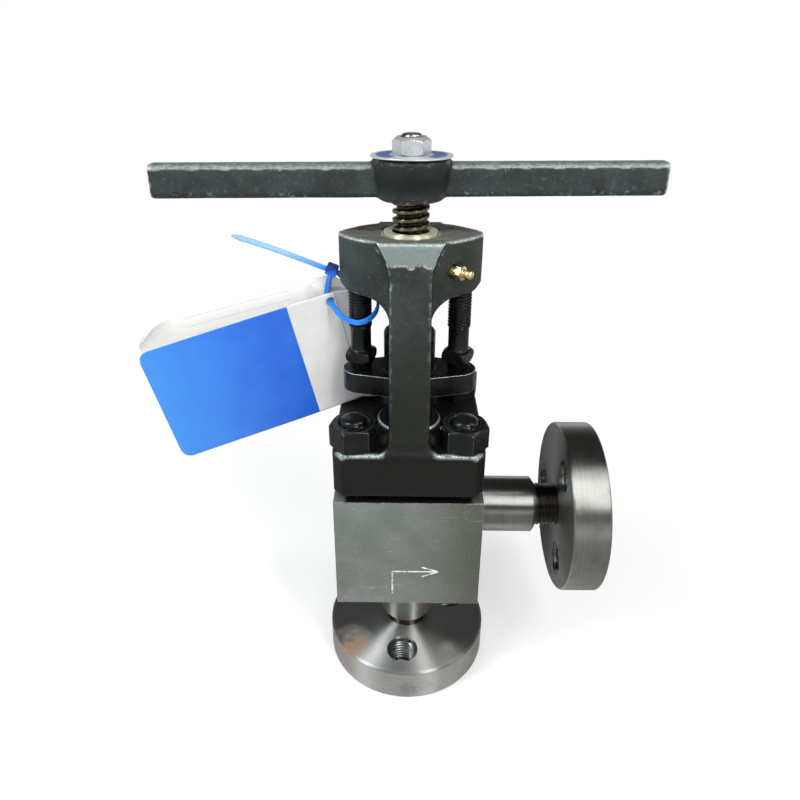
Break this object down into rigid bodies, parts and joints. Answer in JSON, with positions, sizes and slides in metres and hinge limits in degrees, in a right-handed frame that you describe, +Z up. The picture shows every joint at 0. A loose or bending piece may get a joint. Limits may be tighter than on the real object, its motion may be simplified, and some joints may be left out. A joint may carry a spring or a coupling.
{
  "type": "angle globe valve",
  "caption": "Forged angle globe valve with threaded flanges, an open two-armed yoke, a packed rising stem, a T-handle, a folded card tag and a cable tie.",
  "frame": {"origin": "centre of the inlet flange's underside", "axes": "+Z up the stem, +X towards the outlet flange, -Y the side with the grease nipple"},
  "size_m": [0.2625, 0.095, 0.3116],
  "materials": {
    "body_steel": "ground forged steel, grey green, satin",
    "turned_steel": "lathe turned, bright, fine rings",
    "forged_iron": "forged, dark green grey, oiled and grainy",
    "oiled_steel": "blackened and oiled, glossy",
    "stem_steel": "threaded, brown oil film",
    "bronze": "turned bronze, dull",
    "brass": "polished brass",
    "zinc": "zinc plated, satin",
    "disc_aluminium": "thin sheet, slightly bent",
    "card": "coated card, blue with a white band",
    "nylon": "moulded nylon, bright blue",
    "nylon_dark": "moulded nylon, dark blue"
  },
  "bodies": {
    "root": {"body_block": "body_steel", "inlet_neck": "turned_steel", "outlet_neck": "turned_steel", "inlet_flange": "turned_steel", "outlet_flange": "turned_steel", "seat_ring": "turned_steel", "bonnet": "body_steel", "yoke": "forged_iron", "yoke_bushing": "bronze", "gland_sleeve": "oiled_steel", "gland_plate": "oiled_steel", "gland_bolt_left": "oiled_steel", "gland_bolt_right": "oiled_steel", "base_stud_1": "oiled_steel", "base_stud_2": "oiled_steel", "base_stud_3": "oiled_steel", "base_stud_4": "oiled_steel", "base_nut_1": "oiled_steel", "base_nut_2": "oiled_steel", "base_nut_3": "oiled_steel", "base_nut_4": "oiled_steel", "grease_nipple": "brass", "tag_card": "card", "tie_strap": "nylon", "tie_head": "nylon_dark"},
    "stem_lift": {"valve_disc": "turned_steel"},
    "stem_turn": {"stem": "stem_steel", "handle": "forged_iron", "top_disc": "disc_aluminium", "stem_nut": "zinc"}
  },
  "joints": [
    {"name": "stem_rise", "type": "slide", "parent": "root", "child": "stem_lift", "axis": [0, 0, 1], "range_m": [0, 0.00801]},
    {"name": "stem_screw", "type": "hinge", "parent": "stem_lift", "child": "stem_turn", "pos_m": [0, 0, 0.29], "axis": [0, 0, 1], "range_deg": [0, 720]}
  ],
  "couplings": [
    {"joint": "stem_rise", "follows": "stem_screw", "m_per_rad": 0.00063662}
  ]
}
